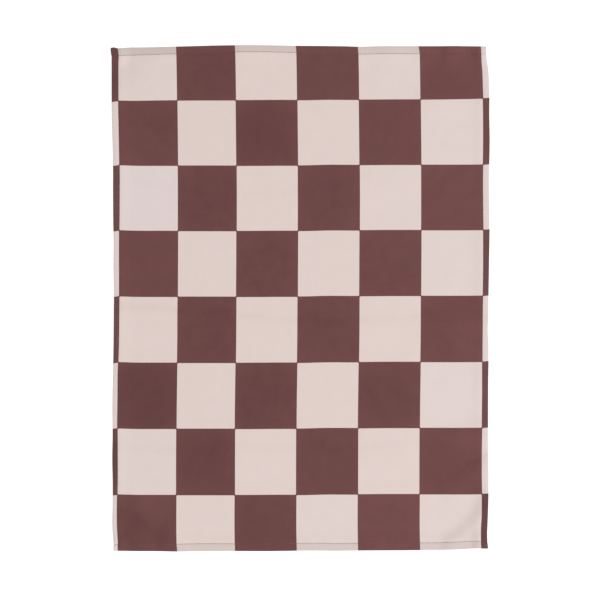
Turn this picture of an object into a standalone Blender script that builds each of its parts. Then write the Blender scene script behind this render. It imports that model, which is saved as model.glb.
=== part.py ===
"""Tea towel lying flat, face up: one piece of cotton cloth, hemmed on all four sides.

X runs across the towel, Y along its length and Z up from the surface that it rests on.
The origin is under the middle of its outline. Sizes in the tables are in millimetres.
"""

from collections import namedtuple

import bmesh
import bpy
import numpy as np

MM = 0.001

# Finished size of the towel, before the unevenness of its edges.
WIDTH = 500.0
LENGTH = 672.0

# Thickness: the open cloth, what a turned hem adds, and what two hems add where they cross.
CLOTH_THICKNESS = 1.0
HEM_EXTRA = 1.1
CORNER_EXTRA = 0.9

# Turned hems: how wide they are, and how far the cloth takes to sink back to the surface.
SIDE_HEM = 8.0
END_HEM = 9.0
HEM_SLOPE = 6.0
EDGE_ROUND = 0.9

# The edges wander by this much about straight ones, and the cloth inside takes it up.
EDGE_REACH = 70.0

# The cloth's own weight presses down what a fold would lift by less than this.
LEAST_LIFT = 0.6

# Widest spacing of the mesh over the open cloth, and over the fold across the middle.
CLOTH_STEP = 11.0
MIDDLE_STEP = 5.5
MIDDLE_BAND = (-44.0, 10.0)

COTTON = (0.44, 0.34, 0.32)
COTTON_ROUGHNESS = 0.9

Edge = namedtuple("Edge", "along out")
Fold = namedtuple("Fold", "start end half_width height")
Corner = namedtuple("Corner", "start end slope height")

# How far each edge lies out from its straight line, by the place along it.
LEFT_EDGE = (
    Edge(along=-336, out=-1.1),
    Edge(along=-320, out=-1.2),
    Edge(along=-302, out=0.4),
    Edge(along=-222, out=0.4),
    Edge(along=-182, out=0.0),
    Edge(along=-142, out=0.5),
    Edge(along=-69, out=-1.1),
    Edge(along=2, out=-1.7),
    Edge(along=71, out=-1.1),
    Edge(along=144, out=-0.5),
    Edge(along=224, out=0.7),
    Edge(along=278, out=1.3),
    Edge(along=318, out=1.7),
    Edge(along=328, out=2.5),
    Edge(along=336, out=2.7),
)
RIGHT_EDGE = (
    Edge(along=-336, out=-0.3),
    Edge(along=-309, out=-1.3),
    Edge(along=-242, out=-0.1),
    Edge(along=-209, out=-0.7),
    Edge(along=-122, out=-0.3),
    Edge(along=-49, out=-0.8),
    Edge(along=-4, out=-0.2),
    Edge(along=38, out=0.9),
    Edge(along=91, out=1.5),
    Edge(along=158, out=0.8),
    Edge(along=210, out=1.6),
    Edge(along=271, out=1.1),
    Edge(along=301, out=-0.3),
    Edge(along=322, out=-2.7),
    Edge(along=336, out=-2.7),
)
BOTTOM_EDGE = (
    Edge(along=-250, out=0.4),
    Edge(along=-201, out=0.3),
    Edge(along=-166, out=1.3),
    Edge(along=-121, out=0.4),
    Edge(along=46, out=0.3),
    Edge(along=77, out=-0.7),
    Edge(along=159, out=-0.8),
    Edge(along=212, out=-2.0),
    Edge(along=239, out=-3.2),
    Edge(along=250, out=-2.8),
)
TOP_EDGE = (
    Edge(along=-250, out=-1.9),
    Edge(along=-243, out=-3.4),
    Edge(along=-214, out=-2.0),
    Edge(along=-163, out=-0.5),
    Edge(along=-94, out=1.2),
    Edge(along=-67, out=1.5),
    Edge(along=0, out=0.3),
    Edge(along=77, out=-0.9),
    Edge(along=106, out=-0.1),
    Edge(along=172, out=0.0),
    Edge(along=232, out=-0.4),
    Edge(along=250, out=-0.9),
)

# Soft ridges left by folding and handling, each along a straight line.
FOLDS = (
    # The fold across the middle, in three runs.
    Fold(start=(-244, -7), end=(-101, -14), half_width=15, height=1.9),
    Fold(start=(-101, -14), end=(106, -26), half_width=15, height=2.2),
    Fold(start=(106, -26), end=(243, -20), half_width=15, height=1.9),
    # Creases in the open cloth.
    Fold(start=(-136, 146), end=(-116, 116), half_width=18, height=1.8),
    Fold(start=(186, 322), end=(198, 290), half_width=18, height=1.6),
    Fold(start=(246, -202), end=(198, -234), half_width=18, height=2.0),
    Fold(start=(-236, -281), end=(-170, -285), half_width=16, height=1.5),
    Fold(start=(62, -213), end=(20, -222), half_width=18, height=1.2),
    # Swells that run in from the hems where the edges bend.
    Fold(start=(-246, 190), end=(-205, 196), half_width=26, height=1.3),
    Fold(start=(-246, 92), end=(-190, 80), half_width=28, height=1.2),
    Fold(start=(-246, -55), end=(-212, -70), half_width=24, height=1.1),
    Fold(start=(246, 88), end=(208, 96), half_width=26, height=1.3),
    Fold(start=(246, 262), end=(214, 250), half_width=24, height=1.4),
    Fold(start=(246, -118), end=(200, -110), half_width=24, height=1.0),
    Fold(start=(-70, 332), end=(-78, 300), half_width=26, height=1.2),
    Fold(start=(30, 332), end=(24, 306), half_width=22, height=1.3),
    Fold(start=(118, 332), end=(112, 300), half_width=24, height=1.0),
    Fold(start=(-166, -332), end=(-160, -304), half_width=24, height=1.2),
    Fold(start=(-40, -332), end=(-46, -300), half_width=26, height=0.9),
    Fold(start=(90, -332), end=(96, -306), half_width=24, height=1.1),
    # Broad swells of cloth that isn't pressed down.
    Fold(start=(-150, 232), end=(-60, 214), half_width=46, height=1.1),
    Fold(start=(70, 140), end=(150, 176), half_width=48, height=1.2),
    Fold(start=(-130, -110), end=(-70, -190), half_width=46, height=1.0),
    Fold(start=(110, -150), end=(150, -96), half_width=42, height=1.0),
)

# Corners that stand up from the surface past a slanting line, on the right of start to end.
CORNERS = (
    Corner(start=(191, -325), end=(240, -279), slope=24, height=3.4),
    Corner(start=(-209, -279), end=(-177, -322), slope=28, height=1.8),
    Corner(start=(-201, 315), end=(-234, 271), slope=24, height=2.2),
)


def curve_through(rows, at):
    """How far out the edge lies at these places, on a smooth curve through the rows."""
    along, out = np.array(rows).T
    steepness = np.gradient(out, along)
    at = np.clip(at, along[0], along[-1])
    row = np.clip(np.searchsorted(along, at) - 1, 0, len(along) - 2)
    gap = along[row + 1] - along[row]
    t = (at - along[row]) / gap
    leaving = (1 + 2 * t) * out[row] + t * gap * steepness[row]
    arriving = (3 - 2 * t) * out[row + 1] - (1 - t) * gap * steepness[row + 1]
    return (1 - t) ** 2 * leaving + t**2 * arriving


def eased(t):
    """0 to 1 as t goes from 0 to 1, flat at both ends."""
    t = np.clip(t, 0, 1)
    return t * t * (3 - 2 * t)


def stations(half_length, hem, band=None):
    """Places of the mesh lines from one edge to the other, with those of the hems between."""
    border = [0, EDGE_ROUND, hem, hem + HEM_SLOPE / 2, hem + HEM_SLOPE]
    low, high = border[-1] - half_length, half_length - border[-1]
    stops = [(low, CLOTH_STEP), (high, CLOTH_STEP)]
    if band:
        stops[1:1] = [(band[0], CLOTH_STEP), (band[1], MIDDLE_STEP)]
    inner = []
    for (start, _), (end, step) in zip(stops, stops[1:]):
        inner.extend(np.linspace(start, end, int(np.ceil((end - start) / step)) + 1)[:-1])
    near = [place - half_length for place in border[:-1]]
    return np.array(near + inner + [high] + [-place for place in reversed(near)])


def near_edge(place, half_length, reach):
    """1 at the edge on the + side, fading to 0 at this reach from it."""
    return np.clip(1 - (half_length - place) / reach, 0, 1) ** 2


def outline(x, y):
    """Moves a plain rectangle's points to where the uneven edges draw them."""
    half_w, half_l = WIDTH / 2, LENGTH / 2
    right = curve_through(RIGHT_EDGE, y) * near_edge(x, half_w, EDGE_REACH)
    left = curve_through(LEFT_EDGE, y) * near_edge(-x, half_w, EDGE_REACH)
    top = curve_through(TOP_EDGE, x) * near_edge(y, half_l, EDGE_REACH)
    bottom = curve_through(BOTTOM_EDGE, x) * near_edge(-y, half_l, EDGE_REACH)
    return x + right - left, y + top - bottom


def thickness(x, y):
    """The cloth's thickness, with its hems, by the place on the plain rectangle."""
    side = 1 - eased((WIDTH / 2 - abs(x) - SIDE_HEM) / HEM_SLOPE)
    end = 1 - eased((LENGTH / 2 - abs(y) - END_HEM) / HEM_SLOPE)
    return CLOTH_THICKNESS + HEM_EXTRA * (side + end) + CORNER_EXTRA * side * end


def ridge(x, y, fold):
    """Height of one soft ridge, which ends round at both ends of its line."""
    run_x, run_y = np.subtract(fold.end, fold.start)
    past_x, past_y = x - fold.start[0], y - fold.start[1]
    t = np.clip((past_x * run_x + past_y * run_y) / (run_x**2 + run_y**2), 0, 1)
    away = np.hypot(past_x - t * run_x, past_y - t * run_y) / fold.half_width
    return fold.height * np.clip(1 - away**2, 0, 1) ** 2


def raised_corner(x, y, corner):
    """Height of the cloth past a corner's slanting line."""
    run = np.subtract(corner.end, corner.start)
    run_x, run_y = run / np.hypot(*run)
    beyond = (x - corner.start[0]) * run_y - (y - corner.start[1]) * run_x
    return corner.height * eased(beyond / corner.slope)


def underside(x, y):
    """How far the cloth stands off the surface: nothing where no fold lifts it."""
    lifts = [ridge(x, y, fold) for fold in FOLDS]
    lifts += [raised_corner(x, y, corner) for corner in CORNERS]
    lift = np.max(lifts, axis=0)
    return np.where(lift < LEAST_LIFT, 0, lift)


def towel_points():
    """Points of the face and of the back, as two grids with the rim's points in common."""
    across = stations(WIDTH / 2, SIDE_HEM)
    along = stations(LENGTH / 2, END_HEM, MIDDLE_BAND)
    x, y = np.meshgrid(across, along)
    thick = thickness(x, y)
    rim = np.zeros(x.shape, bool)
    rim[[0, -1], :] = rim[:, [0, -1]] = True
    out_x, out_y = outline(x, y)
    base = underside(out_x, out_y)
    out_x -= (out_x.min() + out_x.max()) / 2
    out_y -= (out_y.min() + out_y.max()) / 2
    face = base + np.where(rim, thick / 2, thick)
    back = base + np.where(rim, thick / 2, 0)
    return [np.stack([out_x, out_y, z], axis=-1) * MM for z in (face, back)], rim


def towel_mesh():
    """One closed sheet: the face, the back, and a rounded rim between them."""
    (face, back), rim = towel_points()
    mesh = bmesh.new()
    top = [[mesh.verts.new(point) for point in row] for row in face]
    low = [
        [top[r][c] if rim[r, c] else mesh.verts.new(back[r, c]) for c in range(rim.shape[1])]
        for r in range(rim.shape[0])
    ]
    for r in range(rim.shape[0] - 1):
        for c in range(rim.shape[1] - 1):
            ring = ((r, c), (r, c + 1), (r + 1, c + 1), (r + 1, c))
            mesh.faces.new([top[i][j] for i, j in ring])
            mesh.faces.new([low[i][j] for i, j in reversed(ring)])
    bmesh.ops.triangulate(mesh, faces=mesh.faces[:])
    data = bpy.data.meshes.new("towel")
    mesh.to_mesh(data)
    mesh.free()
    data.shade_smooth()
    return data


def cotton():
    """Printed cotton, in the mean of its two colours."""
    material = bpy.data.materials.new("cotton")
    material.use_nodes = True
    shader = material.node_tree.nodes["Principled BSDF"]
    shader.inputs["Base Color"].default_value = (*COTTON, 1)
    shader.inputs["Roughness"].default_value = COTTON_ROUGHNESS
    shader.inputs["Metallic"].default_value = 0
    return material


def main():
    for thing in list(bpy.data.objects):
        bpy.data.objects.remove(thing)
    towel = bpy.data.objects.new("towel", towel_mesh())
    towel.data.materials.append(cotton())
    bpy.context.scene.collection.objects.link(towel)


main()
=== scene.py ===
"""Tea towel lying flat, face up, with its print, its weave and its sewing.

X runs across the towel, Y along its length and Z up. Sizes and places are in millimetres, apart
from those of the floor, the lamp and the camera. The cloth is one thin sheet whose four hems are
turned twice to the back, and it lies on the folds of the solid that it stands for.
"""

from collections import namedtuple
from math import pi

import bpy
import numpy as np
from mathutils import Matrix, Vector


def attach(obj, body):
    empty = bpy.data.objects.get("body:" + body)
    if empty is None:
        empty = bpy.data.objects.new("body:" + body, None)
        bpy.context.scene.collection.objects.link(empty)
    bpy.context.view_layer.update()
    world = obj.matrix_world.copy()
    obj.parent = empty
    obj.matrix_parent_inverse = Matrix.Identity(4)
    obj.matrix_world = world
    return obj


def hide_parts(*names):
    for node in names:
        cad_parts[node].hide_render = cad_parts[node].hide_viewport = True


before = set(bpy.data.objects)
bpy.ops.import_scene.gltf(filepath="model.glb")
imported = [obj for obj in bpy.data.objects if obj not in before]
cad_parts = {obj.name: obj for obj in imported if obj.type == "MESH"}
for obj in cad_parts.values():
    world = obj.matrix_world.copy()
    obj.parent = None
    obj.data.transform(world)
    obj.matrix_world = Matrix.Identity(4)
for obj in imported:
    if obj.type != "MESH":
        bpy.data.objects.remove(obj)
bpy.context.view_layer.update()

MM = 0.001

# The finished towel, before the unevenness of its edges.
WIDTH = 500.0
LENGTH = 672.0

# The cloth, and how far apart the plies of a hem lie.
THICKNESS = 0.38
PLY = 0.45

# Lines between the checks, from left to right and from the top down.
ACROSS_LINES = (-242.5, -164.3, -86.35, -4.5, 77.7, 159.8, 242.3)
ALONG_LINES = (264.5, 177.3, 90.3, 2.7, -85.3, -173.2, -261.4)

# The side seams lie on the outermost check lines, and the end hems are this deep.
LEFT_SEAM, RIGHT_SEAM = ACROSS_LINES[0], ACROSS_LINES[-1]
TOP_HEM = 9.4
BOTTOM_HEM = 9.5

# How far past its seam a hem's back ply is tucked, and the raw ply as a share of the back one.
TUCK = 1.2
RAW_SHARE = 0.7

# How far inside a seam the cloth still lies at the hem's height, and over what width it then
# slopes down.
SEAM_FLAT = 2.4
HEM_SLOPE = 13.0

# The length of a stitch and the thickness of its thread.
STITCH = 2.8
THREAD = 0.52

# The share of a hem's height that its seam squeezes out, and how far from the seam that shows.
SQUEEZE = 0.13
SQUEEZE_REACH = 1.1

# Half the height of the cloth's own unevenness.
UNEVENNESS = 0.07

# The gathers that the end seams draw in: half their height, how far from the seam they reach, and
# how much less they change across it than along it.
PUCKER = 0.09
PUCKER_REACH = 12
PUCKER_STRETCH = 0.2

# Widest spacing of the mesh over the open cloth, and how far inside a seam its lines near it lie.
CLOTH_STEP = 3.7
BESIDE_SEAM = (0.0, 1.2, 2.5, 5.0, 8.0)

# The square of cloth that one baked picture covers: its side, the margin beside the face and the
# reverse in it, and the scale of the reverse.
BAKE_SIDE = 740.0
BAKE_MARGIN = 4.0
REVERSE_SCALE = 0.34

Bend = namedtuple("Bend", "along out")
Spot = namedtuple("Spot", "x y height")
Fold = namedtuple("Fold", "left right crest")
Corner = namedtuple("Corner", "slope line")
Patch = namedtuple("Patch", "x y reach amount")
Step = namedtuple("Step", "part t")
Waves = namedtuple("Waves", "seed shortest longest count")

# How far each edge lies out from its straight line, by the place along it.
LEFT_EDGE = (
    Bend(along=-336, out=-1.3),
    Bend(along=-327, out=-1.5),
    Bend(along=-319, out=-0.9),
    Bend(along=-309, out=0.0),
    Bend(along=-295, out=0.3),
    Bend(along=-275, out=-0.2),
    Bend(along=-242, out=-0.1),
    Bend(along=-215, out=0.4),
    Bend(along=-182, out=0.0),
    Bend(along=-162, out=0.1),
    Bend(along=-139, out=0.2),
    Bend(along=-102, out=-0.5),
    Bend(along=-69, out=-1.1),
    Bend(along=2, out=-1.7),
    Bend(along=55, out=-1.2),
    Bend(along=78, out=-1.5),
    Bend(along=98, out=-0.9),
    Bend(along=144, out=-0.6),
    Bend(along=198, out=-0.3),
    Bend(along=224, out=0.6),
    Bend(along=278, out=1.3),
    Bend(along=318, out=1.35),
    Bend(along=324, out=1.3),
    Bend(along=328, out=2.1),
    Bend(along=336, out=2.7),
)
RIGHT_EDGE = (
    Bend(along=-336, out=-0.6),
    Bend(along=-327, out=-1.5),
    Bend(along=-318, out=-1.7),
    Bend(along=-307, out=-1.4),
    Bend(along=-290, out=-0.7),
    Bend(along=-270, out=0.1),
    Bend(along=-242, out=0.35),
    Bend(along=-209, out=-0.2),
    Bend(along=-122, out=-0.2),
    Bend(along=-57, out=0.1),
    Bend(along=-42, out=-0.7),
    Bend(along=-28, out=0.1),
    Bend(along=-4, out=0.3),
    Bend(along=38, out=0.9),
    Bend(along=91, out=1.7),
    Bend(along=158, out=1.0),
    Bend(along=210, out=1.9),
    Bend(along=250, out=1.3),
    Bend(along=275, out=1.4),
    Bend(along=291, out=0.9),
    Bend(along=304, out=0.1),
    Bend(along=322, out=-2.4),
    Bend(along=336, out=-2.5),
)
BOTTOM_EDGE = (
    Bend(along=-250, out=0.1),
    Bend(along=-238, out=0.0),
    Bend(along=-222, out=0.3),
    Bend(along=-201, out=0.3),
    Bend(along=-166, out=0.9),
    Bend(along=-121, out=0.4),
    Bend(along=-30, out=0.35),
    Bend(along=3, out=-0.1),
    Bend(along=26, out=-0.15),
    Bend(along=46, out=0.1),
    Bend(along=68, out=-0.15),
    Bend(along=86, out=-0.45),
    Bend(along=106, out=-0.5),
    Bend(along=159, out=-0.8),
    Bend(along=212, out=-2.0),
    Bend(along=228, out=-3.0),
    Bend(along=239, out=-3.3),
    Bend(along=250, out=-3.1),
)
TOP_EDGE = (
    Bend(along=-253, out=-3.2),
    Bend(along=-249.5, out=-1.9),
    Bend(along=-243, out=-3.1),
    Bend(along=-228, out=-2.1),
    Bend(along=-207, out=-1.9),
    Bend(along=-163, out=-0.9),
    Bend(along=-94, out=0.9),
    Bend(along=-67, out=1.1),
    Bend(along=0, out=0.2),
    Bend(along=30, out=-0.1),
    Bend(along=58, out=-0.4),
    Bend(along=77, out=-0.9),
    Bend(along=106, out=-0.4),
    Bend(along=172, out=-0.3),
    Bend(along=222, out=-0.3),
    Bend(along=250, out=-0.9),
)

# The print's lengthways lines lie this much to the right of straight, by the place along them.
BOW = (
    Bend(along=-327, out=-0.93),
    Bend(along=-309, out=-1.27),
    Bend(along=-267, out=-1.2),
    Bend(along=-199, out=-1.07),
    Bend(along=-150, out=-0.8),
    Bend(along=-110, out=-0.27),
    Bend(along=-62, out=0.4),
    Bend(along=8, out=0.8),
    Bend(along=64, out=1.07),
    Bend(along=158, out=1.2),
    Bend(along=220, out=0.67),
    Bend(along=268, out=0.15),
    Bend(along=304, out=-0.3),
    Bend(along=332, out=-0.85),
)
# What the outermost lines add to that.
LEFT_LINE = (
    Bend(along=-332, out=0.1),
    Bend(along=-326, out=0.5),
    Bend(along=-308, out=-0.2),
    Bend(along=-275, out=-0.5),
    Bend(along=-242, out=0.1),
    Bend(along=-200, out=0.0),
    Bend(along=-162, out=-0.4),
    Bend(along=-135, out=-0.3),
    Bend(along=-102, out=-0.6),
    Bend(along=-69, out=0.0),
    Bend(along=18, out=0.3),
    Bend(along=60, out=0.0),
    Bend(along=111, out=0.1),
    Bend(along=164, out=0.4),
    Bend(along=198, out=0.3),
    Bend(along=220, out=0.1),
    Bend(along=291, out=-0.1),
    Bend(along=316, out=0.4),
    Bend(along=324, out=0.9),
    Bend(along=332, out=0.35),
)
RIGHT_LINE = (
    Bend(along=-332, out=-1.0),
    Bend(along=-319, out=-0.8),
    Bend(along=-308, out=-0.5),
    Bend(along=-295, out=0.3),
    Bend(along=-268, out=0.6),
    Bend(along=-242, out=0.0),
    Bend(along=-200, out=0.0),
    Bend(along=-162, out=0.4),
    Bend(along=-135, out=0.4),
    Bend(along=-100, out=0.0),
    Bend(along=-60, out=-0.5),
    Bend(along=-15, out=-0.4),
    Bend(along=18, out=0.1),
    Bend(along=85, out=0.0),
    Bend(along=111, out=-0.4),
    Bend(along=164, out=-0.6),
    Bend(along=195, out=0.2),
    Bend(along=278, out=0.3),
    Bend(along=302, out=-0.25),
    Bend(along=316, out=-1.1),
    Bend(along=332, out=-1.2),
)
# Its crossways lines hang this much below straight, by the place along them.
SAG = (
    Bend(along=-239, out=-0.13),
    Bend(along=-222, out=0.4),
    Bend(along=-185, out=0.53),
    Bend(along=-105, out=0.6),
    Bend(along=-78, out=0.67),
    Bend(along=-25, out=0.4),
    Bend(along=3, out=0.4),
    Bend(along=37, out=-0.4),
    Bend(along=70, out=-0.27),
    Bend(along=119, out=-0.6),
    Bend(along=180, out=-0.53),
    Bend(along=235, out=-0.67),
    Bend(along=244, out=-0.8),
)
# What the topmost line adds to that. It fades out over the checks below.
TOP_SAG = (
    Bend(along=-240, out=1.7),
    Bend(along=-185, out=0.6),
    Bend(along=-78, out=0.0),
    Bend(along=180, out=0.0),
    Bend(along=240, out=-0.8),
)
TOP_SAG_FROM, TOP_SAG_TO = 180.0, 264.0

# How much deeper than TOP_HEM and BOTTOM_HEM the end hems are turned, by the place along them.
TOP_DEEPER = (
    Bend(along=-250, out=-0.3),
    Bend(along=-237, out=0.3),
    Bend(along=-228, out=0.7),
    Bend(along=-207, out=0.3),
    Bend(along=-155, out=-0.1),
    Bend(along=-70, out=-0.8),
    Bend(along=-16, out=-0.7),
    Bend(along=60, out=0.3),
    Bend(along=110, out=0.4),
    Bend(along=165, out=0.4),
    Bend(along=250, out=-0.2),
)
BOTTOM_DEEPER = (
    Bend(along=-250, out=-1.3),
    Bend(along=-200, out=-0.6),
    Bend(along=-147, out=0.3),
    Bend(along=-102, out=0.1),
    Bend(along=-40, out=0.0),
    Bend(along=14, out=0.3),
    Bend(along=61, out=0.1),
    Bend(along=120, out=0.1),
    Bend(along=176, out=0.0),
    Bend(along=224, out=0.4),
    Bend(along=250, out=0.2),
)

# Twist of the hems: how far the print has crept at the outer edge. In the side hems it grows over
# SIDE_TWIST_WIDTH.
TOP_TWIST = (
    Bend(along=-242, out=0.4),
    Bend(along=-125, out=0.3),
    Bend(along=-5, out=0.6),
    Bend(along=78, out=0.7),
    Bend(along=160, out=1.4),
    Bend(along=242, out=0.3),
)
BOTTOM_TWIST = (
    Bend(along=-242, out=0.8),
    Bend(along=-164, out=0.8),
    Bend(along=-86, out=0.4),
    Bend(along=242, out=0.35),
)
LEFT_TWIST = 1.3
RIGHT_TWIST = -0.7
SIDE_TWIST_WIDTH = 8

# Ridges left by folding and handling. Each falls away over its own widths on the left and on the
# right of its crest, as seen along it.
FOLDS = (
    # The fold across the middle, steep on its upper side.
    Fold(left=13, right=42, crest=(
        Spot(-256, -19, 2.2),
        Spot(-187, -21, 2.3),
        Spot(-105, -27, 2.0),
        Spot(-28, -37, 2.2),
        Spot(40, -38, 2.3),
        Spot(101, -36, 1.6),
        Spot(137, -33, 1.1),
        Spot(180, -33, 1.7),
        Spot(256, -35, 1.8),
    )),
    # The fold across the upper quarter.
    Fold(left=12, right=34, crest=(
        Spot(-256, 150, 0.7),
        Spot(-187, 144, 0.7),
        Spot(-143, 132, 0.8),
        Spot(-28, 130, 0.7),
        Spot(18, 145, 0.7),
        Spot(101, 153, 0.2),
        Spot(160, 156, 0),
    )),
    # The fold across the lower quarter.
    Fold(left=14, right=36, crest=(
        Spot(-256, -203, 1.5),
        Spot(-187, -211, 1.3),
        Spot(-63, -208, 1.1),
        Spot(55, -212, 1.2),
        Spot(137, -203, 0.9),
        Spot(176, -214, 0),
    )),
    # Creases in the open cloth and near its corners.
    Fold(left=16, right=7, crest=(
        Spot(-142, 147, 0), Spot(-133, 138, 2.1), Spot(-115, 123, 2.1), Spot(-108, 117, 0)
    )),
    Fold(left=22, right=7, crest=(Spot(198, 340, 1.6), Spot(194, 318, 1.9), Spot(188, 300, 0))),
    Fold(left=15, right=30, crest=(Spot(186, -247, 0), Spot(212, -242, 2.2), Spot(260, -215, 2.5))),
    Fold(left=18, right=22, crest=(
        Spot(-236, -240, 0), Spot(-228, -262, 1.2), Spot(-216, -290, 1.5), Spot(-208, -340, 1.3)
    )),
    Fold(left=20, right=15, crest=(
        Spot(-230, -262, 0), Spot(-206, -288, 2.1), Spot(-179, -316, 2.3), Spot(-158, -342, 1.6)
    )),
)

# Swells that run in from the hems where the edges bend, and broad ones in the open cloth.
SWELLS = (
    Fold(left=26, right=26, crest=(Spot(-246, 190, 1.0), Spot(-205, 196, 0.8))),
    Fold(left=28, right=28, crest=(Spot(-246, 92, 0.9), Spot(-190, 80, 0.7))),
    Fold(left=24, right=24, crest=(Spot(-246, -55, 0.8), Spot(-212, -70, 0.6))),
    Fold(left=26, right=26, crest=(Spot(246, 88, 1.0), Spot(208, 96, 0.8))),
    Fold(left=24, right=24, crest=(Spot(246, -118, 0.8), Spot(200, -110, 0.5))),
    Fold(left=26, right=26, crest=(Spot(-70, 332, 0.9), Spot(-78, 300, 0.6))),
    Fold(left=22, right=22, crest=(Spot(30, 332, 0.9), Spot(24, 306, 0.6))),
    Fold(left=24, right=24, crest=(Spot(118, 332, 0.8), Spot(112, 300, 0.5))),
    Fold(left=26, right=26, crest=(Spot(-40, -332, 0.7), Spot(-46, -300, 0.5))),
    Fold(left=24, right=24, crest=(Spot(90, -332, 0.8), Spot(96, -306, 0.6))),
    Fold(left=46, right=46, crest=(Spot(-150, 232, 0.7), Spot(-60, 214, 0.7))),
    Fold(left=48, right=48, crest=(Spot(70, 140, 0.7), Spot(150, 176, 0.7))),
    Fold(left=46, right=46, crest=(Spot(-130, -110, 0.6), Spot(-70, -150, 0.6))),
    Fold(left=42, right=42, crest=(Spot(110, -130, 0.6), Spot(150, -96, 0.6))),
    Fold(left=80, right=32, crest=(
        Spot(-96, 352, 0),
        Spot(-154, 330, 1.9),
        Spot(-203, 305, 2.5),
        Spot(-240, 266, 2.1),
        Spot(-268, 238, 1.6),
    )),
    Fold(left=28, right=28, crest=(Spot(176, 262, 1.8), Spot(248, 262, 2.2))),
    Fold(left=26, right=26, crest=(Spot(200, -188, 1.6), Spot(248, -178, 2.2))),
)

# Corners that stand up from the surface, on the right of their lines.
CORNERS = (
    Corner(slope=19, line=(
        Spot(180, -345, 2.2),
        Spot(187, -315, 3.2),
        Spot(204, -302, 3.8),
        Spot(218, -291, 3.9),
        Spot(228, -278, 3.5),
        Spot(234, -258, 2.2),
        Spot(239, -230, 0),
    )),
    Corner(slope=30, line=(Spot(-258, -218, 1.0), Spot(-230, -253, 1.2), Spot(-156, -345, 1.2))),
    Corner(slope=24, line=(Spot(-218, 345, 0.3), Spot(-254, 300, 0.3))),
)

# How softly a ridge meets the cloth beside it: 1 is a kink and 2 is none.
CREASED, SOFT = 1.3, 2.0

# The waves that make up the cloth's own unevenness, and those of the gathers.
UNEVEN_WAVES = Waves(seed=11, shortest=16, longest=60, count=30)
PUCKER_WAVES = Waves(seed=5, shortest=7, longest=18, count=18)

# Each patch fades out over this share of its reach.
PATCH_RIM = 0.6

# Where the brown is lighter, or darker where the amount is less than 0. Some are painted light and
# shade of creases.
BROWN_PATCHES_AND_SHADE = (
    Patch(-46, 222, 62, -0.06),
    Patch(-218, 196, 40, 0.05),
    Patch(168, 321, 26, 0.1),
    Patch(214, 323, 26, 0.05),
    Patch(200, 135, 62, 0.04),
    Patch(-166, 180, 30, 0.05),
    Patch(-204, 46, 62, 0.07),
    Patch(228, -50, 40, 0.06),
    Patch(-208, -132, 84, -0.11),
    Patch(-46, -129, 60, -0.04),
    Patch(119, -129, 84, -0.05),
    Patch(-127, -212, 60, -0.03),
    Patch(230, -192, 26, 0.05),
    # Painted light and shade of the creases by the bottom left corner, partly worn ink.
    Patch(-193, -277, 32, 0.09),
    Patch(-233, -298, 30, -0.07),
    Patch(-209, -294, 17, -0.06),
    Patch(-186, -318, 16, -0.03),
    Patch(119, -298, 64, 0.1),
    # The brown ends of the checks in the side hems.
    Patch(-246, 310, 45, -0.05),
    Patch(-246, 134, 48, 0.08),
    Patch(-246, -42, 48, 0.08),
    Patch(-246, -216, 45, -0.1),
    Patch(246, 222, 45, -0.06),
    Patch(246, 47, 45, -0.04),
    Patch(246, -292, 52, -0.16),
)

# Where the pale ground is cooler in hue, and how much of the way to the coolest.
COOLER = (
    Patch(-204, 134, 84, 0.9),
    Patch(-186, 300, 50, 0.2),
    Patch(-204, -216, 84, 0.25),
    Patch(119, 310, 60, 0.4),
    Patch(119, 134, 70, 0.15),
    Patch(200, 221, 84, 0.4),
    Patch(200, 47, 84, 0.45),
    Patch(200, -129, 84, 0.65),
    Patch(37, -300, 64, 0.4),
    Patch(200, -300, 64, 0.25),
)

# Where the painted shade of a hem begins inside its seam, and over what width it comes in.
BAND_FROM = 0.6
BAND_WIDTH = 1.6

# Steps of the mesh through a hem: across its face, round its edge, back, round the tuck and along
# the raw ply. Each t is the share of its own part.
HEM_STEPS = (
    [Step("face", t) for t in (0.14, 0.34, 0.62, 1)]
    + [Step("edge", t) for t in np.linspace(0, 1, 7)[1:]]
    + [Step("back", t) for t in (0.25, 0.5, 0.75, 1)]
    + [Step("tuck", t) for t in (0.25, 0.5, 0.75, 1)]
    + [Step("raw", t) for t in (0.5, 1)]
)

# Colours, as linear light.
PALE = (0.617, 0.519, 0.493)
BROWN = (0.118, 0.048, 0.0465)
COTTON_BACK = (0.62, 0.55, 0.5)
SEWING_THREAD = (0.123, 0.065, 0.062)

# What the pale ground and the brown are multiplied by where they are warmest, where the ground is
# coolest, and where the brown lies in a side hem.
WARM_PALE = (1.012, 1.0, 0.975)
COOL_PALE = (1.005, 1.03, 1.06)
WARM_BROWN = (1.03, 0.98, 0.96)
SIDE_BROWN = (1.0, 1.08, 1.1)


def curve_through(rows, at):
    """The second column at these places, on a smooth curve through the rows."""
    along, out = np.array(rows).T
    steepness = np.gradient(out, along)
    at = np.clip(at, along[0], along[-1])
    row = np.clip(np.searchsorted(along, at) - 1, 0, len(along) - 2)
    gap = along[row + 1] - along[row]
    t = (at - along[row]) / gap
    leaving = (1 + 2 * t) * out[row] + t * gap * steepness[row]
    arriving = (3 - 2 * t) * out[row + 1] - (1 - t) * gap * steepness[row + 1]
    return (1 - t) ** 2 * leaving + t**2 * arriving


def eased(t):
    """0 to 1 as t goes from 0 to 1, flat at both ends."""
    t = np.clip(t, 0, 1)
    return t * t * (3 - 2 * t)


# ---- How the towel lies


def sag(x, y):
    """How far below straight the cloth lies here."""
    top = eased((y - TOP_SAG_FROM) / (TOP_SAG_TO - TOP_SAG_FROM))
    return curve_through(SAG, x) + curve_through(TOP_SAG, x) * top


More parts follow.
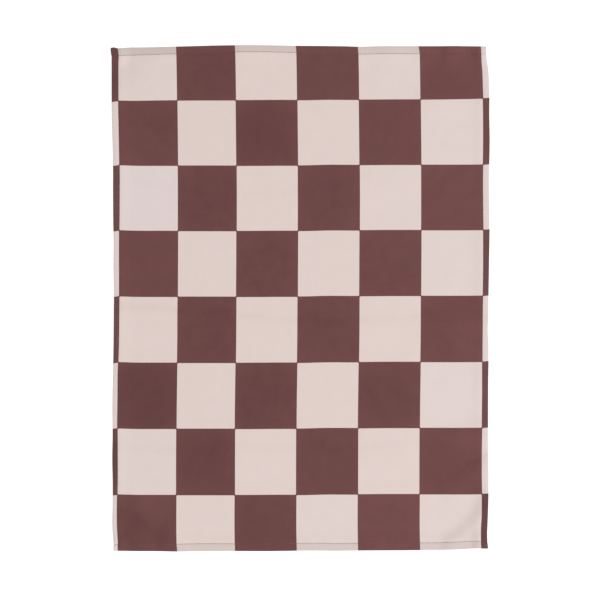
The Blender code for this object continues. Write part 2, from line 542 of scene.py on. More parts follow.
def drift(x, y):
    """How far to the right of straight the cloth lies here."""
    left = np.clip((ACROSS_LINES[1] - x) / (ACROSS_LINES[1] - LEFT_SEAM), 0, 1)
    right = np.clip((x - ACROSS_LINES[-2]) / (RIGHT_SEAM - ACROSS_LINES[-2]), 0, 1)
    return (
        curve_through(BOW, y)
        + curve_through(LEFT_LINE, y) * left
        + curve_through(RIGHT_LINE, y) * right
    )


def side_hem(side, y):
    """Width of the left (-1) or the right (1) hem, which takes up what the print drifts by."""
    if side < 0:
        return WIDTH / 2 + curve_through(LEFT_EDGE, y) + LEFT_SEAM + drift(LEFT_SEAM, y)
    return WIDTH / 2 + curve_through(RIGHT_EDGE, y) - RIGHT_SEAM - drift(RIGHT_SEAM, y)


def end_hem(end, x):
    """Depth of the bottom (-1) or the top (1) hem."""
    if end < 0:
        return BOTTOM_HEM + curve_through(BOTTOM_DEEPER, x)
    return TOP_HEM + curve_through(TOP_DEEPER, x)


def end_seam(end, x):
    """Where the seam of the bottom (-1) or the top (1) hem crosses the cloth."""
    out = curve_through(BOTTOM_EDGE if end < 0 else TOP_EDGE, x)
    return end * (LENGTH / 2 + out - end_hem(end, x)) + sag(x, end * LENGTH / 2)


def inside_seams(x, y):
    """How far inside the side seams and the end seams a place lies, less than 0 in a hem."""
    sides = np.minimum(x - LEFT_SEAM, RIGHT_SEAM - x)
    ends = np.minimum(y - end_seam(-1, x), end_seam(1, x) - y)
    return sides, ends


def hem_share(inside):
    """1 over a hem, easing to 0 over the open cloth."""
    return 1 - eased((inside - SEAM_FLAT) / HEM_SLOPE)


def lift(x, y):
    """How far the uppermost ply lies above the lowest: 2 plies in a hem and 8 where two cross."""
    side, end = [hem_share(inside) for inside in inside_seams(x, y)]
    return PLY * (2 * (side + end) + 4 * side * end)


def from_line(x, y, spots):
    """How far to the left of a bent line a place lies, and the height that the line has there."""
    nearest = np.full(np.shape(x), np.inf)
    aside, height = np.zeros(np.shape(x)), np.zeros(np.shape(x))
    for start, end in zip(spots, spots[1:]):
        run_x, run_y = end.x - start.x, end.y - start.y
        past_x, past_y = x - start.x, y - start.y
        t = np.clip((past_x * run_x + past_y * run_y) / (run_x**2 + run_y**2), 0, 1)
        away = np.hypot(past_x - t * run_x, past_y - t * run_y)
        side = np.where(run_x * past_y > run_y * past_x, 1, -1)
        aside = np.where(away < nearest, side * away, aside)
        height = np.where(away < nearest, start.height + t * (end.height - start.height), height)
        nearest = np.minimum(away, nearest)
    return aside, height


def ridge(x, y, fold, softness):
    """Height of one ridge, which ends round at both ends of its crest."""
    aside, height = from_line(x, y, fold.crest)
    away = aside / np.where(aside > 0, fold.left, fold.right)
    return height * np.clip(1 - away**2, 0, 1) ** softness


def raised_corner(x, y, corner):
    """Height of the cloth past a corner's line."""
    aside, height = from_line(x, y, corner.line)
    return height * eased(-aside / corner.slope)


def ripples(x, y, waves):
    """Even, aimless height from about -1 to 1, the sum of waves with seeded directions."""
    draw = np.random.default_rng(waves.seed)
    total = 0
    for wavelength in np.geomspace(waves.shortest, waves.longest, waves.count):
        heading, phase = draw.uniform(0, 2 * pi, 2)
        place = x * np.cos(heading) + y * np.sin(heading)
        total = total + np.sin(2 * pi * place / wavelength + phase)
    return total / np.sqrt(2 * waves.count)


def relief(x, y):
    """How far the cloth stands off the surface through its folds and its own unevenness."""
    lifts = [ridge(x, y, fold, CREASED) for fold in FOLDS]
    lifts += [ridge(x, y, swell, SOFT) for swell in SWELLS]
    lifts += [raised_corner(x, y, corner) for corner in CORNERS]
    return np.sum(lifts, axis=0) + UNEVENNESS * (1 + ripples(x, y, UNEVEN_WAVES))


def puckers(x, y, ends):
    """Height of the small gathers that the end seams draw in."""
    gather = 1 + ripples(x, y * PUCKER_STRETCH, PUCKER_WAVES)
    return PUCKER * gather * np.clip(1 - np.abs(ends) / PUCKER_REACH, 0, 1)


def laid(x, y, z):
    """Points on or in the towel, with z from its lowest ply, moved to where they lie."""
    sides, ends = inside_seams(x, y)
    for inside in (sides, ends):
        z = z * (1 - SQUEEZE * np.exp(-((inside / SQUEEZE_REACH) ** 2)))
    over_x, over_y = x + drift(x, y), y - sag(x, y)
    return np.stack([over_x, over_y, z + relief(over_x, over_y) + puckers(x, y, ends)], axis=-1)


# ---- The cloth


def turned(step, height, width, plies=1):
    """Where a point of a twice-turned hem lies: along the cloth, out from the seam, and up.

    Its height is from the middle of the hem's outer ply. How many plies are turned together sets
    the radii of the outer and the inner bend.
    """
    part, t = step
    outer, inner = PLY * (3 * plies - 1) / 2, PLY * (2 * plies - 1) / 2
    reach = width - outer
    back = reach + TUCK
    if part == "face":
        return t * reach, t * reach, height
    if part == "edge":
        bent = outer + height
        return reach + pi * t * outer, reach + bent * np.sin(pi * t), bent * np.cos(pi * t) - outer
    at_edge = reach + pi * outer
    if part == "back":
        return at_edge + t * back, reach - t * back, -2 * outer - height
    if part == "tuck":
        bent = inner + height
        across, up = bent * np.sin(pi * t), bent * np.cos(pi * t)
        return at_edge + back + pi * t * inner, reach - back - across, inner - 2 * outer - up
    raw = RAW_SHARE * t * back
    return at_edge + back + pi * inner + raw, reach - back + raw, 2 * (inner - outer) + height


def field_stations(low, high):
    """Places of the mesh lines over the open cloth, from seam to seam."""
    edge = BESIDE_SEAM[-1]
    count = int(np.ceil((high - low - 2 * edge) / CLOTH_STEP)) + 1
    middle = np.linspace(low + edge, high - edge, count)
    near = [low + away for away in BESIDE_SEAM[:-1]]
    far = [high - away for away in reversed(BESIDE_SEAM[:-1])]
    return np.concatenate([near, middle, far])


def stations(low, high):
    """All mesh lines from raw edge to raw edge: which hem each is in, and its step or its place."""
    field = [(0, place) for place in field_stations(low, high)]
    return [(-1, s) for s in reversed(HEM_STEPS)] + field + [(1, s) for s in HEM_STEPS]


def cloth_points(height):
    """The mesh's points at this height from the middle of the cloth, by row and column.

    Gives x, y and z on the finished towel before it is laid, and u and v on the flat cloth.
    """
    top, bottom = LENGTH / 2 - TOP_HEM, BOTTOM_HEM - LENGTH / 2
    columns, rows = stations(LEFT_SEAM, RIGHT_SEAM), stations(bottom, top)

    # How far along the towel each row lies, before its edges and seams bend.
    level = []
    for end, place in rows:
        if end:
            seam, hem = (bottom, BOTTOM_HEM) if end < 0 else (top, TOP_HEM)
            level.append(seam + end * turned(place, 0, hem)[1])
        else:
            level.append(place)
    level = np.array(level)

    # Across the towel, with the side hems turned.
    x, u, depth = [np.zeros((len(rows), len(columns))) for _ in range(3)]
    for c, (side, place) in enumerate(columns):
        if side:
            width = side_hem(side, level)
            along, out, up = turned(place, height, width)
            seam = LEFT_SEAM if side < 0 else RIGHT_SEAM
            x[:, c], u[:, c], depth[:, c] = seam + side * out, seam + side * along, up
        else:
            x[:, c], u[:, c], depth[:, c] = place, place, height

    # Along the towel, with the end hems turned over what lies there.
    y, v, z = [np.zeros(x.shape) for _ in range(3)]
    plies = 1 + 2 * hem_share(np.minimum(x - LEFT_SEAM, RIGHT_SEAM - x))
    for r, (end, place) in enumerate(rows):
        if end:
            seam = end_seam(end, x[r])
            along, out, up = turned(place, depth[r], end_hem(end, x[r]), plies[r])
            y[r], v[r], z[r] = seam + end * out, seam + end * along, up
        else:
            share = (place - bottom) / (top - bottom)
            top_shift, bottom_shift = end_seam(1, x[r]) - top, end_seam(-1, x[r]) - bottom
            y[r] = v[r] = place + (share * top_shift + (1 - share) * bottom_shift)
            z[r] = depth[r]
    return x, y, z, u, v


def patched(patches, x, y):
    """The amount that these patches add up to at these places."""
    total = 0
    for patch in patches:
        inside = patch.reach - np.hypot(x - patch.x, y - patch.y)
        total = total + patch.amount * eased(inside / (PATCH_RIM * patch.reach))
    return total


def beyond(lines):
    """The check lines with one more at each end."""
    return [2 * lines[0] - lines[1], *lines, 2 * lines[-1] - lines[-2]]


def print_place(x, u, v):
    """Checks counted from the first lines, across and down, with the twist of the hems."""
    left = np.clip((LEFT_SEAM - u) / SIDE_TWIST_WIDTH, 0, 1)
    right = np.clip((u - RIGHT_SEAM) / SIDE_TWIST_WIDTH, 0, 1)
    bottom = np.clip((end_seam(-1, x) - v) / BOTTOM_HEM, 0, 1)
    top = np.clip((v - end_seam(1, x)) / TOP_HEM, 0, 1)
    across = u + top * curve_through(TOP_TWIST, x) - bottom * curve_through(BOTTOM_TWIST, x)
    along = v + left * LEFT_TWIST + right * RIGHT_TWIST
    count = np.arange(-1, len(ACROSS_LINES) + 1)
    return [
        np.interp(place, beyond(lines), count)
        for place, lines in ((across, ACROSS_LINES), (-along, [-line for line in ALONG_LINES]))
    ]


def quads(index, outward):
    """Four-sided faces over a grid of point numbers, turned to the face or to the back."""
    corners = [index[:-1, :-1], index[:-1, 1:], index[1:, 1:], index[1:, :-1]]
    if not outward:
        corners.reverse()
    return np.stack(corners, axis=-1).reshape(-1, 4)


def rim(face, back):
    """Faces between the raw edges of the two sides of the cloth."""
    loop = np.concatenate([
        np.arange(face.shape[1] - 1),
        face.shape[1] - 1 + face.shape[1] * np.arange(face.shape[0] - 1),
        (face.size - 1) - np.arange(face.shape[1] - 1),
        face.shape[1] * np.arange(face.shape[0] - 1, 0, -1),
    ])
    after = np.roll(loop, -1)
    flat_face, flat_back = face.ravel(), back.ravel()
    return np.stack([flat_face[after], flat_face[loop], flat_back[loop], flat_back[after]], axis=-1)


def add_values(mesh, name, *values):
    """Stores three numbers at each point, under this name."""
    layer = mesh.attributes.new(name, "FLOAT_VECTOR", "POINT")
    layer.data.foreach_set("vector", np.stack(values, axis=-1).astype(np.float32).ravel())


def add_places(mesh, x, y, u, v):
    """Stores where each point lies in the print, on the flat cloth, by the seams and in the hems."""
    across, down = print_place(x, u, v)
    into_sides, into_ends = inside_seams(x, y)
    side_band = eased((BAND_FROM - into_sides) / BAND_WIDTH)
    end_band = eased((BAND_FROM - into_ends) / BAND_WIDTH) * (1 - side_band)
    add_values(mesh, "print_place", across, down, patched(BROWN_PATCHES_AND_SHADE, u, v))
    add_values(mesh, "cloth_place", u, v, patched(COOLER, u, v))
    add_values(mesh, "seam_place", into_sides, into_ends, np.zeros(u.shape))
    # The bands of the hems, where their shade is painted on the pale ground.
    add_values(mesh, "hem_place", end_band * (y > 0), end_band * (y < 0), side_band)


def add_bake_map(mesh, u, v):
    """Lays the face flat in the square, with the reverse beside it at its smaller scale.

    The first half of the points are the face's. The rim goes with the reverse.
    """
    back = len(u) // 2
    width, along = np.ptp(u), v - v.min()
    face_place = np.stack([along, u.max() - u], axis=-1) + BAKE_MARGIN
    back_place = np.stack([along, u - u.min()], axis=-1) * REVERSE_SCALE + BAKE_MARGIN
    back_place[:, 1] += width + BAKE_MARGIN
    place = np.concatenate([face_place[:back], back_place[back:]]) / BAKE_SIDE

    corners = np.zeros(len(mesh.loops), int)
    mesh.loops.foreach_get("vertex_index", corners)
    finish = np.zeros(len(mesh.polygons), int)
    mesh.polygons.foreach_get("material_index", finish)
    on_rim = (np.repeat(finish, 4) == 1) & (corners < back)
    corners = np.where(on_rim, corners + back, corners)
    layer = mesh.uv_layers.new(name="OFBake")
    layer.uv.foreach_set("vector", place[corners].astype(np.float32).ravel())


def towel_cloth():
    """The towel's cloth as one closed thin sheet, and the shift that centres it."""
    sides = [cloth_points(height) for height in (THICKNESS / 2, -THICKNESS / 2)]
    points = np.stack([laid(x, y, z + lift(x, y) + THICKNESS / 2) for x, y, z, *_ in sides])
    low, high = points[0].min(axis=(0, 1)), points[0].max(axis=(0, 1))
    centre = np.array([*((low + high) / 2)[:2], 0])
    face, back = np.arange(points.size // 3).reshape(points.shape[:3])
    groups = [quads(face, True), quads(back, False), rim(face, back)]

    mesh = bpy.data.meshes.new("tea_towel")
    places = (points.reshape(-1, 3) - centre) * MM
    mesh.from_pydata(places.tolist(), [], np.concatenate(groups).tolist())
    finish = np.repeat([0, 1, 1], [len(group) for group in groups])
    mesh.polygons.foreach_set("material_index", finish)
    mesh.shade_smooth()

    x, y, _, u, v = [np.stack(both).ravel() for both in zip(*sides)]
    add_places(mesh, x, y, u, v)
    add_bake_map(mesh, u, v)
    return mesh, centre


# ---- Sewing

# Where a stitch comes up and goes down, as shares of its length, its rise from the one to the
# other, and how far askew it lies.
STITCH_UP, STITCH_DOWN = 0.13, 0.87
STITCH_RISE = (-0.35, -0.02, 0.12, 0.15, 0.12, -0.02, -0.35)
STITCH_SLANT = 0.16

# What the rise is counted from: this far above the face, or above the underside.
RISE_FROM_FACE, RISE_FROM_BACK = 0.06, 0.12

# How unevenly the stitches lie along the seam and askew, and how unevenly they are pulled down.
UNEVEN_ALONG, UNEVEN_SLANT, UNEVEN_PULL = 0.14, 0.05, 0.07

# How far inside the left edge the rows along the ends start, and how far inside the ends the rows
# along the sides start and stop.
ROW_INSIDE_LEFT, ROW_INSIDE_ENDS = 2.5, 3.0

# A short row across the right end of the top hem, where its seam is locked.
LOCK_SEAM, LOCK_FROM, LOCK_STITCHES = 237.0, 320.6, 4

# How many flat sides a thread has round it, and the seed for how light each stitch is.
THREAD_SIDES = 6
THREAD_SEED = 3


def stitch_paths(x, y, heading, under):
    """Centre lines of stitches that start at these places, by stitch, point and coordinate.

    The heading is (1, 0) along an end, where each stitch follows the seam, and (0, 1) along a side.
    """
    t = np.linspace(STITCH_UP, STITCH_DOWN, len(STITCH_RISE))
    draw = np.random.default_rng(len(x) + 2 * under)
    early, pulled, wander = draw.normal(0, 1, (3, *x.shape, 1))
    along = t * STITCH + early * UNEVEN_ALONG
    slant = STITCH_SLANT * (t - 0.5) * (-1 if under else 1) + wander * UNEVEN_SLANT
    at_x = x[:, None] + heading[0] * along - heading[1] * slant
    at_y = y[:, None] + heading[1] * along + heading[0] * slant
    if heading[0]:
        end = 1 if y[0] > 0 else -1
        at_y = at_y - y[:, None] + end_seam(end, at_x)
    rise = STITCH_RISE - np.abs(pulled) * UNEVEN_PULL
    if under:
        height = RISE_FROM_BACK - rise
    else:
        height = lift(at_x, at_y) + THICKNESS + RISE_FROM_FACE + rise
    return laid(at_x, at_y, height)


def seam_stitches():
    """Centre lines of every stitch, on the face and on the back."""
    paths = []
    to_left = int((WIDTH / 2 - ROW_INSIDE_LEFT) / STITCH)
    to_end = int((LENGTH / 2 - ROW_INSIDE_ENDS) / STITCH)
    across = np.arange(-to_left, int(RIGHT_SEAM / STITCH)) * STITCH
    along = np.arange(-to_end, to_end) * STITCH
    locked = LOCK_FROM + STITCH * np.arange(LOCK_STITCHES)
    for under in (False, True):
        for end in (-1, 1):
            paths.append(stitch_paths(across, end_seam(end, across), (1, 0), under))
        for seam, row in ((LEFT_SEAM, along), (RIGHT_SEAM, along), (LOCK_SEAM, locked)):
            paths.append(stitch_paths(np.full(row.shape, seam), row, (0, 1), under))
    return np.concatenate(paths)


def thread_mesh(paths, centre):
    """Round threads along these centre lines, closed at their ends.

    Stores how far along and how far round its thread each point lies, and the thread's own shade.
    """
    count, length = paths.shape[:2]
    forward = np.gradient(paths, axis=1)
    forward /= np.linalg.norm(forward, axis=-1, keepdims=True)
    across = np.cross(forward, (0, 0, 1.0))
    across /= np.linalg.norm(across, axis=-1, keepdims=True)
    up = np.cross(across, forward)
    turn = 2 * pi * np.arange(THREAD_SIDES) / THREAD_SIDES
    ring = across[:, :, None] * np.cos(turn)[:, None] + up[:, :, None] * np.sin(turn)[:, None]
    points = paths[:, :, None] + ring * THREAD / 2 - centre

    index = np.arange(count * length * THREAD_SIDES).reshape(points.shape[:3])
    around = np.roll(index, -1, axis=2)
    tubes = np.stack([index[:, 1:], around[:, 1:], around[:, :-1], index[:, :-1]], axis=-1)
    faces = tubes.reshape(-1, 4).tolist() + index[:, 0].tolist() + index[:, -1, ::-1].tolist()
    mesh = bpy.data.meshes.new("stitching")
    mesh.from_pydata((points.reshape(-1, 3) * MM).tolist(), [], faces)
    mesh.shade_smooth()
    run = np.arange(length)[:, None] * STITCH / (length - 1)
    shade = np.random.default_rng(THREAD_SEED).uniform(0, 1, count)[:, None, None]
    add_values(mesh, "thread_place", *np.broadcast_arrays(run, turn, shade))
    return mesh


# ---- Finishes

# Brings a noise about 0.5 to run from about -1 to 1.
NOISE_STRETCH = 2.6


class Value:
    """A number, colour or vector that varies over a surface. Sums on a number add Math nodes."""

    def __init__(self, finish, socket):
        self.finish = finish
        self.socket = socket

    def maths(self, operation, *terms):
        """What a Math node makes of these values and numbers."""
        return self.finish.node("ShaderNodeMath", {"operation": operation}, dict(enumerate(terms)))

    def __add__(self, other):
        return self.maths("ADD", self, other)

    __radd__ = __add__

    def __sub__(self, other):
        return self.maths("SUBTRACT", self, other)

    def __rsub__(self, other):
        return self.maths("SUBTRACT", other, self)

    def __mul__(self, other):
        return self.maths("MULTIPLY", self, other)

    __rmul__ = __mul__

    def __abs__(self):
        return self.maths("ABSOLUTE", self)

    def sine(self):
        return self.maths("SINE", self)

    def kept_between(self, low, high):
        return self.maths("MINIMUM", self.maths("MAXIMUM", self, low), high)


class Finish:
    """A material whose nodes are joined to one Principled shader."""

    def __init__(self, name, **constants):
        self.material = bpy.data.materials.new(name)
        self.material.use_nodes = True
        self.tree = self.material.node_tree
        self.shader = self.tree.nodes["Principled BSDF"]
        for socket, value in constants.items():
            self.set(socket.replace("_", " "), value)

    def set(self, socket, value):
        """Gives one of the shader's sockets a number, a colour or a varying value."""
        self.feed(self.shader.inputs[socket], value)

    def feed(self, socket, value):
        """Links a varying value to a socket, or sets the socket to a constant."""
        if isinstance(value, Value):
            self.tree.links.new(value.socket, socket)
        else:
            socket.default_value = value

    def node(self, kind, settings=None, sockets=None, out=0):
        """Adds a node of this kind, with its settings made first, and gives one of its outputs."""
        made = self.tree.nodes.new(kind)
        for name, value in (settings or {}).items():
            setattr(made, name, value)
        for name, value in (sockets or {}).items():
            self.feed(made.inputs[name], value)
        return Value(self, made.outputs[out])

    def stored(self, name):
        """The three numbers stored at the points under this name, and them as one vector."""
        vector = self.node("ShaderNodeAttribute", {"attribute_name": name}, out="Vector")
        parts = [self.node("ShaderNodeSeparateXYZ", None, {0: vector}, out) for out in range(3)]
        return vector, *parts

    def scaled(self, vector, by):
        """The vector with each of its three numbers times its own factor."""
        return self.node("ShaderNodeVectorMath", {"operation": "MULTIPLY"}, {0: vector, 1: by})

    def noise(self, vector, *size):
        """Cloudy noise from about -1 to 1, in patches of about this size, or this width and length."""
        place = self.scaled(vector, (1 / size[0], 1 / size[-1], 0))
        sockets = {"Vector": place, "Scale": 1.0, "Detail": 2.0}
        found = self.node("ShaderNodeTexNoise", {"noise_dimensions": "2D"}, sockets)
        return (found - 0.5) * NOISE_STRETCH

    def mixed(self, one, other, share):
        """A share of the other colour in the one. The Mix node's colours are its sockets 6 and 7."""
        one, other = [value if isinstance(value, Value) else (*value, 1) for value in (one, other)]
        return self.node("ShaderNodeMix", {"data_type": "RGBA"}, {0: share, 6: one, 7: other}, out=2)

    def lit(self, colour, by):
        """The colour times a number."""
        return self.node("ShaderNodeVectorMath", {"operation": "SCALE"}, {0: colour, "Scale": by})

    def bump(self, height):
        """Relief of this height, in millimetres."""
        self.set("Normal", self.node("ShaderNodeBump", None, {"Distance": MM, "Height": height}))


# The weave: the spacing of its threads, how far out of step they wander, in radians, and over what
# size, how sharply one passes over another, and the share of its height that a thread loses
# between its crowns.
WEAVE_PITCH = 0.45
WANDER, WANDER_SIZE = 0.35, 6.0
CROSSING_SHARPNESS = 6
THREAD_SAG = 0.4

# The edges of the checks: how steep the wave across a check is made, so that it goes from -1 to 1
# within 1.5 mm of each edge, how far past the edge the ink has spread, as a share of that, how
# sharply it ends there, and how far it creeps to and fro, as a share of a check, and over what size.
EDGE_STEEPNESS = 17
INK_SPREAD = 0.2
INK_SHARPNESS = 5
INK_CREEP, CREEP_SIZE = 0.0012, 0.7

# The radius of the needle's holes, how sharply they end along the seam, and how far from the seam
# the painted shade of its groove reaches.
HOLE_RADIUS = 0.36
HOLE_SHARPNESS = 5
GROOVE_REACH = 1.3

# Threads that are thicker in places: the width and the length of those places.
SLUB_WIDTH, SLUB_LENGTH = 0.5, 16.0

# The brightness of the cloth between its threads, and what the crowns of the threads, lighter than
# the painted shade between them, and the thick places add to it. The painted shade in the seams'
# grooves and in the needle's holes takes from it.
BETWEEN_THREADS = 0.965
WEAVE_SHADE = 0.05
SLUB_SHADE = 0.01
GROOVE_SHADE = 0.06
HOLE_SHADE = 0.6

# The relief of the cloth, in millimetres.
WEAVE_HEIGHT = 0.035
SLUB_HEIGHT = 0.006
HOLE_DEPTH = 0.06

# Roughness of the cotton between its threads, and how much smoother their crowns are.
ROUGHNESS = 0.9
CROWNS_SMOOTHER = 0.06

# Noises, each with the size of its patches and its strength: in the brightness of the pale ground
# and of the brown, and in the height of the fluff. The warmer and cooler patches are of one size.
GROUND_MOTTLING = ((13.0, 0.01), (2.4, 0.007))
BROWN_MOTTLING = ((13.0, 0.05), (2.4, 0.045), (0.9, 0.03), (50.0, 0.04), (27.0, 0.03))
FLUFF = ((1.6, 0.012), (9.0, 0.03))
WARM_PATCHES = 22.0

# Painted shade on the pale ground in the hems: how much darker it is in each, and what the top
# hem loses of that for each millimetre to the right.
TOP_SHADE, TOP_SHADE_LOSS = 0.14, 0.00013
BOTTOM_SHADE = 0.105
SIDE_SHADE = 0.02

# How much of the way to the coolest the pale ground is in the side hems.
SIDE_COOLNESS = 0.6

# The brown's least brightness, on a line along the towel, and what it gains on the crowns of the
# threads, for each millimetre to the side of that line as painted sheen, near the edges of a check
# and in the hems.
DARKEST_BROWN = 0.88
DARKEST_LINE = -110
LIGHTER_CROWNS = 0.12
PAINTED_SHEEN_ASIDE = 0.0004
LIGHTER_EDGES = 0.06
LIGHTER_TOP = 0.08
LIGHTER_BOTTOM = 0.03
LIGHTER_SIDE = -0.07

# How strongly the print shows on the face, and through the cloth on its back.
ON_FACE, ON_BACK = 1.0, 0.42

# The sewing thread: the spacing of its plies along it, their relief, what its colour is multiplied
# by where it is lightest and darkest, and how far towards the lightest a ply and a stitch take it.
PLY_SPACING = 0.55
PLY_HEIGHT = 0.03
THREAD_LIGHTEST, THREAD_DARKEST = 1.9, 0.45
LIGHTER_PLY, LIGHTER_STITCH = 0.2, 0.6

FLOOR_GREY = (0.4, 0.4, 0.4, 1)
FLOOR_GLOW = 0.8
WHITE = (1, 1, 1, 1)


def tinted(colour, tint):
    """The colour with each of its three parts times that of the tint."""
    return [part * share for part, share in zip(colour, tint)]


def plain_weave(finish, cloth, u, v):
    """Height of a plain weave, from 0 between the threads to 1 on their crowns."""
    wander = finish.noise(cloth, WANDER_SIZE) * WANDER
    a = (u * (pi / WEAVE_PITCH) + wander).sine()
    b = (v * (pi / WEAVE_PITCH) + wander).sine()
    warp, weft = abs(a), abs(b)
    over = (a * b * CROSSING_SHARPNESS).kept_between(-1, 1) * 0.5 + 0.5
    raised_warp = warp * (weft * THREAD_SAG + (1 - THREAD_SAG))
    raised_weft = weft * (warp * THREAD_SAG + (1 - THREAD_SAG))
    return over * raised_warp + (1 - over) * raised_weft


def mottled(finish, cloth, noises):
    """The sum of noises, each with the size of its patches and its strength."""
    return sum(finish.noise(cloth, size) * strength for size, strength in noises)


def checks(finish, cloth):
    """The print, as three values that vary over the cloth.

    They are 1 where the ink is and 0 on the pale squares, how near the edges of a check a place is,
    and what the brown's patches, some of them painted crease shade, add to its brightness.
    """
    _, across, down, patches = finish.stored("print_place")
    creep = finish.noise(cloth, CREEP_SIZE) * INK_CREEP
    waves = [((way + creep) * pi).sine() for way in (across, down)]
    one, other = [(wave * EDGE_STEEPNESS).kept_between(-1, 1) for wave in waves]
    inked = ((one * other + INK_SPREAD) * INK_SHARPNESS + 0.5).kept_between(0, 1)
    near, beside = [1 - abs(wave) for wave in waves]
    return inked, near * near + beside * beside, patches


def needle_marks(finish, u, v):
    """1 in the needle's holes, and 1 on each seam, fading out over its groove: where shade is painted.
    """
    _, into_sides, into_ends, _ = finish.stored("seam_place")
    holes, groove_shadow = 0, 0
    for inside, along in ((into_sides, v), (into_ends, u)):
        near = (1 - inside * inside * (1 / HOLE_RADIUS**2)).kept_between(0, 1)
        beat = (along * (2 * pi / STITCH) + pi / 2).sine()
        beat = (beat * HOLE_SHARPNESS - (HOLE_SHARPNESS - 1)).kept_between(0, 1)
        holes = near * beat + holes
        groove_shadow = (1 - abs(inside) * (1 / GROOVE_REACH)).kept_between(0, 1) + groove_shadow
    return holes.kept_between(0, 1), groove_shadow.kept_between(0, 1)


def printed_cotton(name, pale, strength):
    """Plain-woven cotton with its print of brown and pale checks, mottled as cotton takes dye, with
    painted shade and sheen.
    """
    finish = Finish(name, Sheen_Weight=0.1, Sheen_Roughness=0.5, Specular_IOR_Level=0.15)
    cloth, u, v, cooler = finish.stored("cloth_place")
    _, top, bottom, side = finish.stored("hem_place")
    inked, edges, patches = checks(finish, cloth)
    weave = plain_weave(finish, cloth, u, v)
    holes, groove_shadow = needle_marks(finish, u, v)
    slubs = finish.noise(cloth, SLUB_WIDTH, SLUB_LENGTH) + finish.noise(cloth, SLUB_LENGTH, SLUB_WIDTH)
    warmth = finish.noise(cloth, WARM_PATCHES) * 0.5 + 0.5

    ground = finish.mixed(pale, tinted(pale, WARM_PALE), warmth)
    coolness = (cooler + side * SIDE_COOLNESS).kept_between(0, 1)
    ground = finish.mixed(ground, tinted(pale, COOL_PALE), coolness)
    # The hems' painted shade on the pale ground.
    hems = 1 - top * (TOP_SHADE - u * TOP_SHADE_LOSS) - bottom * BOTTOM_SHADE - side * SIDE_SHADE
    ground = finish.lit(ground, hems + mottled(finish, cloth, GROUND_MOTTLING))

    dyed = finish.mixed(BROWN, tinted(BROWN, WARM_BROWN), warmth)
    dyed = finish.mixed(dyed, tinted(BROWN, SIDE_BROWN), side)
    # Painted sheen on the brown grows to each side of its darkest line.
    lighter = abs(u - DARKEST_LINE) * PAINTED_SHEEN_ASIDE + edges * LIGHTER_EDGES + patches
    lighter = lighter + top * LIGHTER_TOP + bottom * LIGHTER_BOTTOM + side * LIGHTER_SIDE
    brightness = weave * LIGHTER_CROWNS + lighter + mottled(finish, cloth, BROWN_MOTTLING)
    dyed = finish.lit(dyed, DARKEST_BROWN + brightness)

    # Painted shade between the threads, in the seams' grooves and in the needle's holes.
    even = BETWEEN_THREADS + weave * WEAVE_SHADE + slubs * SLUB_SHADE
    even = even - groove_shadow * GROOVE_SHADE - holes * HOLE_SHADE
    finish.set("Base Color", finish.lit(finish.mixed(ground, dyed, inked * strength), even))
    finish.set("Roughness", ROUGHNESS - weave * CROWNS_SMOOTHER)
    relief = weave * WEAVE_HEIGHT + slubs * SLUB_HEIGHT - holes * HOLE_DEPTH
    finish.bump(relief + mottled(finish, cloth, FLUFF))
    return finish.material


def sewing_thread():
    """Two-ply thread with its twist and a little shine. Some stitches are lighter than others."""
    finish = Finish("sewing_thread", Roughness=0.6, Sheen_Weight=0.2, Specular_IOR_Level=0.4)
    _, run, winding, shade = finish.stored("thread_place")
    ply = (run * (2 * pi / PLY_SPACING) + winding * 2).sine()
    lightest, darkest = [
        [part * share for part in SEWING_THREAD] for share in (THREAD_LIGHTEST, THREAD_DARKEST)
    ]
    lighter = (ply + 1) * LIGHTER_PLY + shade * LIGHTER_STITCH
    finish.set("Base Color", finish.mixed(darkest, lightest, lighter))
    finish.bump(ply * PLY_HEIGHT)
    return finish.material


def pale_floor():
    """The plain pale surface that the towel lies on."""
    finish = Finish(
        "pale_floor", Roughness=0.9, Specular_IOR_Level=0.1, Emission_Strength=FLOOR_GLOW
    )
    finish.set("Emission Color", WHITE)
    finish.set("Base Color", FLOOR_GREY)
    return finish.material


# ---- Assembly, floor, light and camera

# In metres: how far the floor reaches from its middle, and how far below the towel it lies.
FLOOR_REACH, FLOOR_DROP = 3.0, 0.0003

# The lamp, low on the right, in metres and watts, and the strength of the even light.
LAMP_PLACE = (4.3, -1.7, 5.0)
LAMP_SIZE = 4.3
LAMP_POWER = 340
SKY_STRENGTH = 0.72

# The camera looks straight down, from metres above, a little off the middle. Its lens and the
# width of its sensor are in millimetres.
CAMERA_PLACE = (-0.00023, -0.00226, 5.55)
LENS, SENSOR = 250, 36


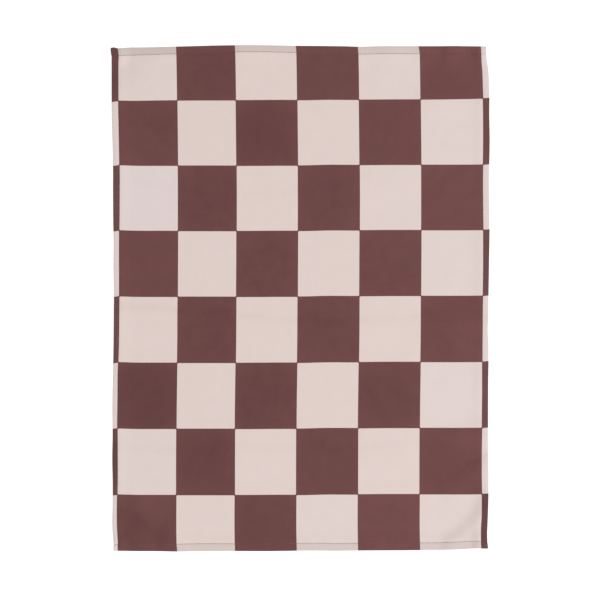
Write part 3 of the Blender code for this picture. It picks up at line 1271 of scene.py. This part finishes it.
def added(name, mesh, *materials):
    """A piece of the scene with this mesh, and these materials in its slots."""
    piece = bpy.data.objects.new(name, mesh)
    for material in materials:
        mesh.materials.append(material)
    bpy.context.scene.collection.objects.link(piece)
    return piece


def floor_mesh():
    """One square under the towel."""
    around = ((-1, -1), (1, -1), (1, 1), (-1, 1))
    corners = [(x * FLOOR_REACH, y * FLOOR_REACH, -FLOOR_DROP) for x, y in around]
    mesh = bpy.data.meshes.new("floor")
    mesh.from_pydata(corners, [], [(0, 1, 2, 3)])
    return mesh


def lamp(scene):
    """A large soft round lamp that points at the towel."""
    light = bpy.data.lights.new("key", "AREA")
    light.shape = "DISK"
    light.size = LAMP_SIZE
    light.energy = LAMP_POWER
    holder = bpy.data.objects.new("key", light)
    holder.location = LAMP_PLACE
    holder.rotation_euler = (-Vector(LAMP_PLACE)).to_track_quat("-Z", "Y").to_euler()
    holder.visible_camera = False
    scene.collection.objects.link(holder)


def studio(scene):
    """Even light from all round, and the lamp."""
    world = bpy.data.worlds.new("studio")
    world.use_nodes = True
    sky = world.node_tree.nodes["Background"]
    sky.inputs["Color"].default_value = WHITE
    sky.inputs["Strength"].default_value = SKY_STRENGTH
    scene.world = world
    lamp(scene)
    scene.view_settings.view_transform = "Standard"


def camera_above(scene):
    """The camera, centred as the photograph is."""
    lens = bpy.data.cameras.new("camera")
    lens.lens = LENS
    lens.sensor_width = SENSOR
    camera = bpy.data.objects.new("camera", lens)
    camera.location = CAMERA_PLACE
    scene.collection.objects.link(camera)
    scene.camera = camera


scene = bpy.context.scene
camera_above(scene)
studio(scene)
floor = added("floor", floor_mesh(), pale_floor())

cloth_mesh, centre = towel_cloth()
towel = added(
    "tea_towel",
    cloth_mesh,
    printed_cotton("printed_cotton", PALE, ON_FACE),
    printed_cotton("cotton_reverse", COTTON_BACK, ON_BACK),
)
stitching = added("stitching", thread_mesh(seam_stitches(), centre), sewing_thread())

for piece in (towel, stitching):
    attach(piece, "root")
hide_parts("towel")
*_, flat_across, flat_along = cloth_points(0)
